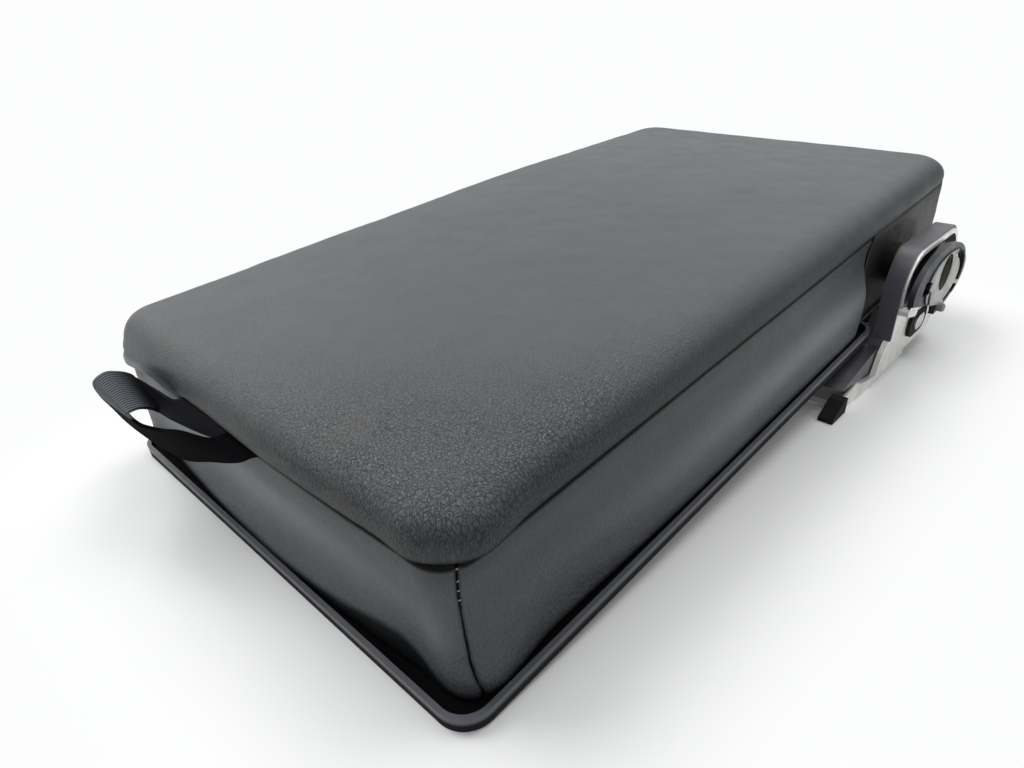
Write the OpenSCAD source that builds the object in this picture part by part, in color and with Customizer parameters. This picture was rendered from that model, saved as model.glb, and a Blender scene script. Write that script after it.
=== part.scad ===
/* [Base plate] */
// Width of the hard base plate across the armrest
plate_w = 225; // [222:1:228]
// Height of the lip around the base plate
lip_h = 5.5; // [4.5:0.5:6.5]

/* [Cushion] */
// Width of the top pad
pad_w = 211; // [208:1:212]
// Thickness of the top pad above its seam
pad_t = 19.5; // [17:0.5:22]
// Radius of the top pad's rounded upper edge
pad_edge_r = 10; // [7:1:13]

/* [Hinge] */
// Lean of the armrest when it lies on its front edge and on the bracket feet
lean = 4.5; // [4:0.1:5]
// Outer radius of the pivot tube
pivot_r = 11; // [10.5:0.5:11.5]
// Length of the oval stop plate from end to end
stop_l = 90; // [84:1:92]

/* [Pull strap] */
// Thickness of the woven strap
strap_t = 1.4; // [1:0.1:2]

/* [Hidden] */
$fn = 64;

// Gap between neighbouring pieces of one body
gap = 0.15;

// Pivot line of the hinge, measured from the base plate's front lower edge
pivot_y = 341.5;
pivot_z = 21.5;
// Height of the pivot when the front edge and both bracket feet touch the ground
pivot_h = pivot_y * sin(lean) + pivot_z * cos(lean);
// Shift along Y that centres the part on its own box
centre_y = 148.1;

// Base plate
plate_l = 404.2;
plate_t = 2.5;
lip_t = 1.8;
plate_corner_r = 11;
notch_y = 296;
notch_x = 105.2;
boss_r = 9;
boss_h = 2.2;

// Screws that hold the base plate to the inner frame
screw_xs = [-60, 60];
screw_ys = [74, 220, 366];
screw_r = 2.5;
screw_head_r = 5;
screw_head_h = 2.6;
screw_l = 16;

// Sewn cover and foam
seam_z = 52.3;
pad_front_y = 4.4;
pad_rear_y = 404.6;
pad_corner_r = 22;
panel_t = 2.4;
panel_x = 105;
panel_y = 7.2;
panel_corner_r = 13;
panel_foot_z = 2.8;
panel_top_z = 52;
seam_angle = 28;
seam_gap = 1;
// Outward bulge of the side panels at given heights
bulge = [[52, 0], [43, -0.7], [31, -0.5], [19, 0.8], [9, 2.2], [2.8, 2.9]];
side_rear_top = 293;
side_rear_foot = 276;
rear_x = 103;
rear_y = 402;
rear_corner_r = 8;
foam_x = 100.4;
foam_y = 12;
foam_corner_r = 16;

// Inner steel frame
rail_x0 = 86;
rail_x1 = 90;
rail_y0 = 72;
rail_y1 = 368;
rail_z0 = 5.2;
rail_z1 = 33;
rail_end_r = 8;
cross_t = 18;
cross_h = 4;
cross_z = 5.2;

// Hinge stack along X, from the armrest outwards
arm_in_x = 107.6;
cover_x0 = 112.4;
cover_t = 2;
pan_x0 = 114.6;
sheet_t = 2.6;
arm_out_x = 117.4;
plate_x0 = 118;
plate_x1 = 120.6;
cover_x1 = 121.4;
rim_x1 = 122.6;
stop_x0 = 124.6;
stop_x1 = 127.4;
pin_x1 = 130.4;

// Bracket head around the pivot, with its lower front side sloping
head_y0 = -44.7;
head_y1 = 37.3;
head_z0 = -20;
head_z1 = 17.9;
head_r = 18;
slope_y = -9.7;
slope = 20;
cover_over = 1.8;
fit = 0.2;

// Tube, bush and liner
tube_t = 2.4;
spigot_r = pivot_r - 1.2;
bush_r = pivot_r + 2;
liner_t = 1.6;
running = 0.05;

// Oval stop plate: its middle seen from the pivot, its tilt, its height and its cut-outs as parts of its size
stop_mid = [-1.4, -4.9];
stop_tilt = -9;
stop_h = 40;
slot_out = 0.89;
slot_in = 0.66;
window_out = 0.7;
window_in = 0.5;
// Raised land around the tube, and the notch in the plate's lower edge
land_x1 = 128.4;
land_shift = 8;
land_k = 0.77;
notch_at = [-21, -8.5];
notch_turn = 108;
notch_l = 6;
notch_h = 2.4;
pin_at = [8.5, -16.2];
pin_r = 2.4;
lug_at = [-36, -12];
lug_slope = 15;
lug_l = 8.5;
lug_h = 2.6;
lug_x1 = 126;

// Bracket below the head, measured from the pivot
neck_low = -42.7;
neck_rear = 31;
neck_r = 10;
foot_rear = -13;
foot_front = -92;
foot_t = 3;
foot_x0 = 90;
// The foot is narrower where it passes the rear of the armrest, when that is folded up
foot_step_x = 106.4;
foot_step_y = -30;
foot_hole_x = 101;
foot_hole_ys = [-76, -44];
foot_hole_r = 4.2;
bend_r = 3;

// Outline of the cover's arm along the foot, and of the hollow in the side that faces the armrest
arm_outside = [[-37, -14.2], [-39.7, -18.2], [-48.7, -29.4], [-87.7, -36.6], [-91.7, -38.2], [-73.7, -40.2],
  [-56.7, -42.6], [-37, -44]];
arm_hollow = [[-38.5, -20], [-47.6, -31.3], [-76, -36.8], [-57, -40.4], [-38.5, -41.8]];

// Eye with its rubber grommet and the lock stud in it
eye_y = -3.7;
eye_z = -28.4;
eye_l = 13;
eye_h = 6.6;
stud_l = 6.8;
stud_h = 4.1;

// Rubber buffer on the front end of the foot
buffer_y0 = -108;
buffer_x0 = 113.4;
buffer_x1 = 120.6;
buffer_h = 8;
tongue_x0 = 115;
tongue_x1 = 118.4;
tongue_l = 8;

// Edges of the pull strap, from its left root round the loop to its right root
strap_far = [[-46, 4.6, 50.6], [-69, 3.4, 49.5], [-81, 1, 52], [-71, -6, 60.5], [-61.5, -12.5, 66],
  [-60, -16, 65], [-62, -15.5, 58.5], [-60.5, -13.5, 52], [-59, -11, 44], [-50, -7.5, 37],
  [-30, -4.5, 36], [-9, -1.5, 43], [9, 1.5, 49.5], [13, 4.6, 50.6]];
strap_near = [[-25, 3, 49.6], [-49, 2, 41.5], [-62, 1, 41], [-52, -5, 50], [-42, -10.7, 56.5],
  [-38.5, -14, 58], [-39.5, -13.5, 56], [-38.5, -13, 54.5], [-38, -11.5, 52], [-33, -8, 50.5],
  [-23, -4.8, 52.5], [-15, -1.5, 52], [-9.5, 2, 51], [-8.5, 4.6, 50.6]];

// Places a piece of the armrest, drawn on its flat base, in the resting pose
module on_armrest() {
  translate([0, centre_y, pivot_h]) rotate([lean, 0, 0]) translate([0, -pivot_y, -pivot_z]) children();
}

// Places a piece of a bracket, drawn around the pivot, in the resting pose
module on_bracket() {
  translate([0, centre_y, pivot_h]) children();
}

module on_left() {
  mirror([1, 0, 0]) children();
}

// Extrudes a Y, Z outline along X
module along_x(x0, x1) {
  translate([x0, 0, 0]) rotate([90, 0, 90]) linear_extrude(x1 - x0) children();
}

// Extrudes an X, Z outline along Y
module along_y(y0, y1) {
  translate([0, y1, 0]) rotate([90, 0, 0]) linear_extrude(y1 - y0) children();
}

// Extrudes an X, Y outline along Z
module along_z(z0, z1) {
  translate([0, 0, z0]) linear_extrude(z1 - z0) children();
}

// Rectangle with round corners, given by its two opposite corners
module rounded(x0, y0, x1, y1, r) {
  translate([x0 + r, y0]) square([x1 - x0 - 2 * r, y1 - y0]);
  translate([x0, y0 + r]) square([x1 - x0, y1 - y0 - 2 * r]);
  for (x = [x0 + r, x1 - r], y = [y0 + r, y1 - r]) translate([x, y]) circle(r);
}

// Oblong around the origin, with half its length and half its height
module oblong(half_l, half_h) {
  square([2 * (half_l - half_h), 2 * half_h], center = true);
  for (s = [-1, 1]) translate([s * (half_l - half_h), 0]) circle(half_h);
}

// Plan of the base plate, drawn smaller all round by d
module plate_plan(d) {
  rounded(-plate_w / 2 + d, d, plate_w / 2 - d, notch_y - d, plate_corner_r - d);
  rounded(-notch_x + d, plate_l / 2, notch_x - d, plate_l - d, plate_corner_r - d);
}

module base_plate() {
  color("dimgray") on_armrest() difference() {
    union() {
      along_z(0, plate_t) plate_plan(0);
      along_z(plate_t - 1, lip_h) difference() {
        plate_plan(0);
        plate_plan(lip_t);
      }
      for (x = screw_xs, y = screw_ys) translate([x, y, plate_t - 1]) cylinder(r = boss_r, h = boss_h + 1);
    }
    for (x = screw_xs, y = screw_ys) translate([x, y, 0]) screw_shape(gap);
  }
}

// Countersunk screw pointing up, drawn larger all round by d
module screw_shape(d) {
  translate([0, 0, -0.01]) cylinder(r1 = screw_head_r + d, r2 = screw_r + d, h = screw_head_h);
  cylinder(r = screw_r + d, h = screw_l + d);
}

module plate_screws() {
  color("silver") on_armrest() for (x = screw_xs, y = screw_ys) translate([x, y, 0.1]) difference() {
    screw_shape(0);
    translate([0, 0, -1]) cylinder(r = 2, h = 2.6, $fn = 6);
  }
}

// Rail, cross bars and the room they need in the foam, drawn larger by d
module frame_shape(d) {
  for (s = [-1, 1]) along_x(s > 0 ? rail_x0 - d : -rail_x1 - d, s > 0 ? rail_x1 + d : -rail_x0 + d)
    rounded(rail_y0 - d, rail_z0 - d, rail_y1 + d, rail_z1 + d, rail_end_r);
  for (y = screw_ys) along_z(cross_z - d, cross_z + cross_h + d)
    translate([-rail_x0, y - cross_t / 2 - d]) square([2 * rail_x0, cross_t + 2 * d]);
}

module inner_frame() {
  color("slategray") on_armrest() difference() {
    frame_shape(0);
    for (x = screw_xs, y = screw_ys) translate([x, y, 0]) cylinder(r = screw_r + gap, h = 40);
  }
}

// Plan of the foam between the side panels
module foam_plan() {
  rounded(-foam_x, foam_y, foam_x, side_rear_foot - 6, foam_corner_r);
  rounded(-rear_x + panel_t + gap, plate_l / 2, rear_x - panel_t - gap, rear_y - panel_t - gap, 14);
}

module foam_core() {
  color("wheat") on_armrest() difference() {
    along_z(plate_t + gap, seam_z - gap) foam_plan();
    frame_shape(1);
    for (x = screw_xs, y = screw_ys) translate([x, y, 0]) cylinder(r = boss_r + 1, h = screw_l + 2);
    for (s = [-1, 1]) along_x(s > 0 ? rail_x1 : -rear_x, s > 0 ? rear_x : -rail_x1)
      translate([pivot_y, pivot_z]) circle(pivot_r + 1);
  }
}

// Section of the pad's rounded edge, from the corner centre outwards
module pad_section() {
  square([pad_corner_r - pad_edge_r, pad_t]);
  square([pad_corner_r, pad_t - pad_edge_r]);
  translate([pad_corner_r - pad_edge_r, pad_t - pad_edge_r]) intersection() {
    circle(pad_edge_r);
    square(pad_edge_r);
  }
}

module top_pad() {
  cx = pad_w / 2 - pad_corner_r;
  y0 = pad_front_y + pad_corner_r;
  y1 = pad_rear_y - pad_corner_r;
  color("darkslategray") on_armrest() translate([0, 0, seam_z]) {
    along_z(0, pad_t) translate([-cx, y0]) square([2 * cx, y1 - y0]);
    for (s = [0, 180]) translate([0, s == 0 ? y0 : y1, 0]) rotate([0, 0, s]) rotate([0, 0, -90]) {
      translate([0, -cx, 0]) along_y(0, 2 * cx) pad_section();
    }
    for (s = [0, 180]) translate([s == 0 ? cx : -cx, s == 0 ? y0 : y1, 0]) rotate([0, 0, s])
      along_y(0, y1 - y0) pad_section();
    translate([cx, y1, 0]) rotate_extrude(angle = 90) pad_section();
    translate([-cx, y1, 0]) rotate([0, 0, 90]) rotate_extrude(angle = 90) pad_section();
    translate([-cx, y0, 0]) rotate([0, 0, 180]) rotate_extrude(angle = 90) pad_section();
    translate([cx, y0, 0]) rotate([0, 0, 270]) rotate_extrude(angle = 90) pad_section();
  }
}

// Section of a side panel, outwards from a given distance
module panel_section(out) {
  last = len(bulge) - 1;
  polygon([for (b = bulge) [out + b[1], b[0]],
    for (i = [last:-1:0]) [out + bulge[i][1] - panel_t, bulge[i][0]]]);
}

// Places a corner of the sewn cover at the end of its front edge
module on_corner() {
  translate([panel_x - panel_corner_r, panel_y + panel_corner_r, 0]) children();
}

// Front part of the corner, up to the seam
module front_corner() {
  on_corner() rotate([0, 0, -90]) rotate_extrude(angle = 90 - seam_angle) panel_section(panel_corner_r);
}

// Side part of the corner, up to the seam
module side_corner() {
  on_corner() mirror([0, 1, 0]) rotate_extrude(angle = seam_angle - seam_gap) panel_section(panel_corner_r);
}

module front_panel() {
  color("dimgray") on_armrest() {
    translate([-panel_x + panel_corner_r, panel_y + panel_corner_r, 0]) rotate([0, 0, -90])
      along_y(0, 2 * (panel_x - panel_corner_r)) panel_section(panel_corner_r);
    front_corner();
    on_left() front_corner();
  }
}

// Slanted rear edge of the side panels: its distance from the front at a height
function rear_edge(z) = side_rear_foot - 1 + (side_rear_top - side_rear_foot + 1) * z / panel_top_z;

module side_panel() {
  side_corner();
  intersection() {
    along_y(panel_y + panel_corner_r, side_rear_top + 5) panel_section(panel_x);
    along_x(0, plate_w) polygon([[0, -10], [rear_edge(-10), -10], [rear_edge(70), 70], [0, 70]]);
  }
}

module right_panel() {
  color("dimgray") on_armrest() side_panel();
}

module left_panel() {
  color("dimgray") on_armrest() on_left() side_panel();
}

// Plan of the rear panel's outside, drawn smaller all round by d
module rear_plan(d) {
  rounded(-rear_x + d, side_rear_foot - 30, rear_x - d, rear_y - d, rear_corner_r - d);
}

module rear_panel() {
  color("gray") on_armrest() difference() {
    along_z(panel_foot_z, panel_top_z) difference() {
      rear_plan(0);
      rear_plan(panel_t);
    }
    along_x(-plate_w, plate_w)
      polygon([[200, -10], [rear_edge(-10) + gap, -10], [rear_edge(70) + gap, 70], [200, 70]]);
    along_x(-plate_w, plate_w) translate([pivot_y, pivot_z]) circle(pivot_r + 0.6);
  }
}

// One corner of the strap's surface, moved half its thickness to one side
function strap_normal(i) =
  let (last = len(strap_far) - 1, before = max(i - 1, 0), after = min(i + 1, last))
  let (run = strap_far[after] + strap_near[after] - strap_far[before] - strap_near[before])
  let (n = cross(strap_near[i] - strap_far[i], run)) n / norm(n);

module pull_strap() {
  count = len(strap_far);
  points = [for (i = [0:count - 1]) let (n = strap_normal(i) * strap_t / 2)
    each [strap_far[i] - n, strap_near[i] - n, strap_near[i] + n, strap_far[i] + n]];
  walls = [for (i = [0:count - 2], k = [0:3])
    let (a = 4 * i + k, b = 4 * i + (k + 1) % 4) each [[a, b, a + 4], [b, b + 4, a + 4]]];
  first = [[3, 2, 1], [3, 1, 0]];
  last = [for (f = [[0, 1, 2], [0, 2, 3]]) [for (v = f) v + 4 * (count - 1)]];
  color("black") on_armrest() polyhedron(points, concat(first, walls, last));
}

module pivot_tube() {
  difference() {
    union() {
      along_x(rail_x1 + gap, stop_x0 - gap) circle(pivot_r);
      along_x(stop_x0 - 1, stop_x1) circle(spigot_r);
    }
    along_x(rail_x1, stop_x1 + 1) circle(pivot_r - tube_t);
  }
}

// Places a piece of the armrest's hinge, drawn around the pivot
module on_pivot() {
  on_armrest() translate([0, pivot_y, pivot_z]) children();
}

module pivot_tube_right() {
  color("silver") on_pivot() pivot_tube();
}

module pivot_tube_left() {
  color("silver") on_pivot() on_left() pivot_tube();
}

// Point on the stop plate's oval at a part k of its size
function oval(k, a) = [k * stop_l / 2 * cos(a), k * stop_h / 2 * sin(a)];

// Curved slot in the oval, between two parts of its size and two angles
module oval_slot(k0, k1, a0, a1) {
  n = 12;
  angles = [for (i = [0:n]) a0 + (a1 - a0) * i / n];
  polygon([for (a = angles) oval(k1, a), for (i = [n:-1:0]) oval(k0, angles[i])]);
}

// Stop plate, whose sloping lower front edge lies on the bracket's lug when the armrest is down
module stop_plate() {
  difference() {
    union() {
      along_x(stop_x0, stop_x1) translate(stop_mid) rotate(stop_tilt)
        polygon([for (i = [0:71]) oval(1, 5 * i)]);
      along_x(stop_x1 - 1, land_x1) translate(stop_mid) rotate(stop_tilt) translate([land_shift, 0])
        polygon([for (i = [0:71]) oval(1, 5 * i) * land_k]);
    }
    along_x(stop_x0 - 1, land_x1 + 1) {
      translate(stop_mid) rotate(stop_tilt) {
        oval_slot(slot_in, slot_out, -20, 62);
        oval_slot(slot_in, slot_out, -66, -28);
        oval_slot(window_in, window_out, 158, 190);
        translate(pin_at) circle(pin_r + running);
      }
      circle(spigot_r + running);
      translate(notch_at) rotate(notch_turn) oblong(notch_l, notch_h);
      rotate(-lean) translate(lug_at) rotate(-lug_slope) translate([-60, lug_h + 0.4 - 40]) square([100, 40]);
    }
  }
}

module stop_plate_right() {
  color("gainsboro") on_pivot() stop_plate();
}

module stop_plate_left() {
  color("gainsboro") on_pivot() on_left() stop_plate();
}

// Pin riveted in the stop plate's lower edge
module plate_pin() {
  translate([0, stop_mid[0], stop_mid[1]]) rotate([stop_tilt, 0, 0]) translate([0, pin_at[0], pin_at[1]])
    rotate([0, 90, 0]) {
      translate([0, 0, stop_x0 - 0.6]) cylinder(r = pin_r, h = pin_x1 - stop_x0 + 0.6);
      translate([0, 0, pin_x1]) cylinder(r1 = pin_r, r2 = pin_r - 0.8, h = 0.8);
    }
}

module plate_pin_right() {
  color("gray") on_pivot() plate_pin();
}

module plate_pin_left() {
  color("gray") on_pivot() on_left() plate_pin();
}

// Outline of the bracket's head, drawn smaller all round by d
module head(d) {
  low = head_z0 + d / cos(slope);
  difference() {
    rounded(head_y0 + d, head_z0 + d, head_y1 - d, head_z1 - d, head_r - d);
    polygon([[head_y0 - 10, head_z0 - 20], [slope_y + 5, head_z0 - 20], [slope_y + 5, low - 5 * tan(slope)],
      [head_y0 - 10, low + (slope_y - head_y0 + 10) * tan(slope)]]);
  }
}

// Outline of the flat neck below the head, drawn larger by d
module neck(d) {
  polygon([[head_y0 - d, -6], [head_y0 - d, -25.2], [-51.7 - d, -32.2], [-58 - d, -pivot_h - d],
    [foot_rear + d, -pivot_h - d], [foot_rear - 0.6 + d, neck_low - d], [neck_rear - neck_r, neck_low - d],
    [neck_rear + d, neck_low + neck_r], [neck_rear + d, -6]]);
  translate([neck_rear - neck_r, neck_low + neck_r]) circle(neck_r + d);
}

// Plan of the foot, which narrows towards its front end
module foot_plan() {
  polygon([[foot_step_x, foot_rear], [plate_x1, foot_rear], [plate_x1, -60], [119.6, -76],
    [tongue_x1, foot_front], [foot_x0 + 8, foot_front], [foot_x0, foot_front + 8],
    [foot_x0, foot_step_y - 6], [foot_x0 + 6, foot_step_y], [foot_step_x, foot_step_y]]);
}

// Low upstand along the foot's outer edge, beside the cover's arm
module foot_web() {
  intersection() {
    along_z(-pivot_h, 0) difference() {
      foot_plan();
      translate([-sheet_t, 0]) foot_plan();
    }
    along_x(foot_x0 + 12, plate_x1) translate([0, -pivot_h])
      polygon([[foot_front, 0], [-50, 0], [-50, 6], [-57, 5.6], [-74, 8], [foot_front, 5]]);
  }
}

module bracket() {
  difference() {
    union() {
      along_x(pan_x0, rim_x1) head(0);
      along_x(plate_x0, plate_x1) neck(0);
      along_x(plate_x0, lug_x1) translate(lug_at) rotate(-lug_slope) oblong(lug_l, lug_h);
      along_z(-pivot_h, -pivot_h + foot_t) foot_plan();
      foot_web();
      along_z(-pivot_h + 1, -pivot_h + 1 + foot_t) translate([tongue_x0, foot_front - tongue_l])
        square([tongue_x1 - tongue_x0, tongue_l + 4]);
    }
    along_x(pan_x0 + sheet_t, lug_x1 + 1) head(sheet_t);
    along_x(pan_x0 - 1, plate_x0) circle(bush_r);
    along_x(plate_x0 - 1, plate_x1 + 1) translate([eye_y, eye_z]) oblong(eye_l, eye_h);
    for (y = foot_hole_ys)
      translate([foot_hole_x, y, -pivot_h - 1]) cylinder(r = foot_hole_r, h = foot_t + 2);
    along_y(-60, foot_rear + 1) difference() {
      translate([plate_x1 - bend_r, -pivot_h - 1]) square(bend_r + 1);
      translate([plate_x1 - bend_r, -pivot_h + bend_r]) circle(bend_r);
    }
  }
}

module bracket_right() {
  color("lightgray") on_bracket() bracket();
}

module bracket_left() {
  color("lightgray") on_bracket() on_left() bracket();
}

// Outline of the cover around the bracket's head and along the neck's front edge, drawn smaller by d
module cover_head(d) {
  head(d - cover_over);
  polygon([[head_y0 - cover_over + d, 0], [head_y0 - cover_over + d, -26 + d], [-37, -42 + d],
    [-16 - d, -42 + d], [-16 - d, 0]]);
}

module hinge_cover() {
  difference() {
    union() {
      along_x(cover_x0, cover_x1) cover_head(0);
      along_x(arm_in_x, arm_out_x) polygon(arm_outside);
    }
    along_x(cover_x0 + cover_t, cover_x1 + 1) head(-fit);
    along_x(arm_out_x + fit, cover_x1 + 1) neck(fit);
    along_x(arm_in_x - 1, arm_out_x - cover_t) polygon(arm_hollow);
    along_x(cover_x0 - 1, cover_x1) circle(pivot_r + 0.6);
  }
}

module hinge_cover_right() {
  color("dimgray") on_bracket() hinge_cover();
}

module hinge_cover_left() {
  color("dimgray") on_bracket() on_left() hinge_cover();
}

// Plastic bush with a liner over the head's floor and a spacer behind the stop plate
module bush() {
  difference() {
    union() {
      along_x(pan_x0, pan_x0 + sheet_t + 1) circle(bush_r - running);
      along_x(pan_x0 + sheet_t + running, pan_x0 + sheet_t + liner_t) head(sheet_t + fit);
      along_x(pan_x0 + sheet_t + 1, stop_x0 - 0.3) circle(bush_r + 2);
    }
    along_x(pan_x0 - 1, stop_x0) circle(pivot_r + running);
  }
}

module bush_right() {
  color("black") on_bracket() bush();
}

module bush_left() {
  color("black") on_bracket() on_left() bush();
}

module lock_stud() {
  along_x(plate_x0 - 0.4, plate_x1 + 2.6) translate([eye_y, eye_z]) oblong(stud_l, stud_h);
}

module lock_stud_right() {
  color("silver") on_bracket() lock_stud();
}

module lock_stud_left() {
  color("silver") on_bracket() on_left() lock_stud();
}

module grommet() {
  difference() {
    union() {
      along_x(plate_x0, plate_x1 + 0.5) translate([eye_y, eye_z]) oblong(eye_l - running, eye_h - running);
      along_x(plate_x1 + 0.05, plate_x1 + 1.8) translate([eye_y, eye_z]) oblong(eye_l + 0.8, eye_h + 0.8);
    }
    along_x(plate_x0 - 2, plate_x1 + 4) translate([eye_y, eye_z]) oblong(stud_l + running, stud_h + running);
  }
}

module grommet_right() {
  color("black") on_bracket() grommet();
}

module grommet_left() {
  color("black") on_bracket() on_left() grommet();
}

module buffer() {
  difference() {
    along_x(buffer_x0, buffer_x1) translate([0, -pivot_h])
      polygon([[buffer_y0, 0], [foot_front - gap, 0], [foot_front - gap, buffer_h], [buffer_y0 + 11, buffer_h],
        [buffer_y0, 2]]);
    along_z(-pivot_h + 1 - gap, -pivot_h + 1 + foot_t + gap)
      translate([tongue_x0 - gap, foot_front - tongue_l - gap])
        square([tongue_x1 - tongue_x0 + 2 * gap, tongue_l + 1]);
  }
}

module buffer_right() {
  color("black") on_bracket() buffer();
}

module buffer_left() {
  color("black") on_bracket() on_left() buffer();
}

base_plate();
plate_screws();
foam_core();
inner_frame();
top_pad();
front_panel();
right_panel();
left_panel();
rear_panel();
pull_strap();
pivot_tube_right();
pivot_tube_left();
stop_plate_right();
stop_plate_left();
bracket_right();
bracket_left();
hinge_cover_right();
hinge_cover_left();
bush_right();
bush_left();
plate_pin_right();
plate_pin_left();
lock_stud_right();
lock_stud_left();
grommet_right();
grommet_left();
buffer_right();
buffer_left();
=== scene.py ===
"""Looks of the rear seat armrest: leather cover, pull strap, base and hinges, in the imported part's frame.

The new pieces are worked out in the armrest's own frame, in mm: x across, y back from the front edge, and z
up from the base's underside. place() turns such points into points of the resting part, in metres.
"""
import math

import bpy
import numpy as np
from mathutils import Matrix, Vector


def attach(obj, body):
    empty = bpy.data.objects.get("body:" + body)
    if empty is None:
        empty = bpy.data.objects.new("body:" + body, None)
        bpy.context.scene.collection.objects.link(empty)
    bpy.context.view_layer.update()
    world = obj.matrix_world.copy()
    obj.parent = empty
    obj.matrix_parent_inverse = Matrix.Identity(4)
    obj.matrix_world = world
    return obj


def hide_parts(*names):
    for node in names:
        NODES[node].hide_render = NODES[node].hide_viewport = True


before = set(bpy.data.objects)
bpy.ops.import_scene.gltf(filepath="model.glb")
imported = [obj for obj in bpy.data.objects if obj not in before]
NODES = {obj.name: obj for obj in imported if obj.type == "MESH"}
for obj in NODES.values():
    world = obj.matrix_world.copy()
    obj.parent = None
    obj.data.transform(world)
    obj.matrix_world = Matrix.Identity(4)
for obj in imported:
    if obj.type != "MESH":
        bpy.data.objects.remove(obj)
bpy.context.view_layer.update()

# The armrest's own frame

MM_PER_M = 1000
LEAN = math.radians(4.5)
PIVOT_Y, PIVOT_Z = 341.5, 21.5
PIVOT_H = PIVOT_Y * math.sin(LEAN) + PIVOT_Z * math.cos(LEAN)
CENTRE_Y = 148.1


def place(p):
    """Points in the armrest's own frame, in mm, as points of the resting part, in metres."""
    p = np.asarray(p, float).reshape(-1, 3)
    y, z = p[:, 1] - PIVOT_Y, p[:, 2] - PIVOT_Z
    c, s = math.cos(LEAN), math.sin(LEAN)
    return np.stack([p[:, 0], CENTRE_Y + y * c - z * s, PIVOT_H + y * s + z * c], 1) / MM_PER_M


def smooth(a, b, x):
    """Soft step from 0 where x is a to 1 where x is b."""
    t = np.clip((np.asarray(x, float) - a) / (b - a), 0, 1)
    return t * t * (3 - 2 * t)


def bell(x, centre, width):
    return np.exp(-((x - centre) / width) ** 2)


# Seeded noise: waves in each octave, octaves, and how much weaker and finer each octave is than the last
WAVE_COUNT, WAVE_OCTAVES, WAVE_FADE, WAVE_FINER = 7, 3, 0.55, 1.9
WAVE_SPREAD, WAVE_GAIN = (0.7, 1.3), 2.2


def waves(p, size, seed):
    """Smooth seeded noise from about -1 to 1 at points p, with features of the given size."""
    rng = np.random.default_rng(seed)
    out, total = np.zeros(len(p)), 0.0
    for octave in range(WAVE_OCTAVES):
        strength = WAVE_FADE ** octave
        ways = rng.normal(size=(WAVE_COUNT, p.shape[1]))
        ways /= np.linalg.norm(ways, axis=1)[:, None]
        turns = 2 * math.pi / size * (WAVE_FINER ** octave) * rng.uniform(*WAVE_SPREAD, WAVE_COUNT)
        phase = rng.uniform(0, 2 * math.pi, WAVE_COUNT)
        out += strength * np.sin((p @ ways.T) * turns + phase).sum(1) / WAVE_COUNT * WAVE_GAIN
        total += strength
    return out / total


# Meshes

def mesh_object(name, points, faces, material):
    mesh = bpy.data.meshes.new(name)
    mesh.from_pydata([tuple(p) for p in points], [], [tuple(f) for f in faces])
    mesh.validate()
    mesh.update()
    mesh.polygons.foreach_set("use_smooth", [True] * len(mesh.polygons))
    obj = bpy.data.objects.new(name, mesh)
    bpy.context.scene.collection.objects.link(obj)
    obj.data.materials.append(material)
    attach(obj, "armrest")
    return obj


def grid_faces(rows, cols, start=0, wrap=False, flip=False):
    """Faces of a grid of points whose first one is number start; wrap joins its last column to its first."""
    faces = []
    last = cols if wrap else cols - 1
    for i in range(rows - 1):
        for j in range(last):
            a, b = start + i * cols + j, start + i * cols + (j + 1) % cols
            c, d = b + cols, a + cols
            faces.append((a, d, c, b) if flip else (a, b, c, d))
    return faces


def normals_of(grid):
    n = np.cross(np.gradient(grid, axis=0), np.gradient(grid, axis=1))
    return n / np.maximum(np.linalg.norm(n, axis=2), 1e-9)[:, :, None]


def attribute(obj, name, values):
    layer = obj.data.attributes.new(name, "FLOAT", "POINT")
    layer.data.foreach_set("value", np.asarray(values, np.float32).ravel())


# Materials

# Numbers of the colour Mix node's inputs (share and both colours) and of its colour output
MIX_INPUTS, MIX_OUTPUT = (0, 6, 7), 2


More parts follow.
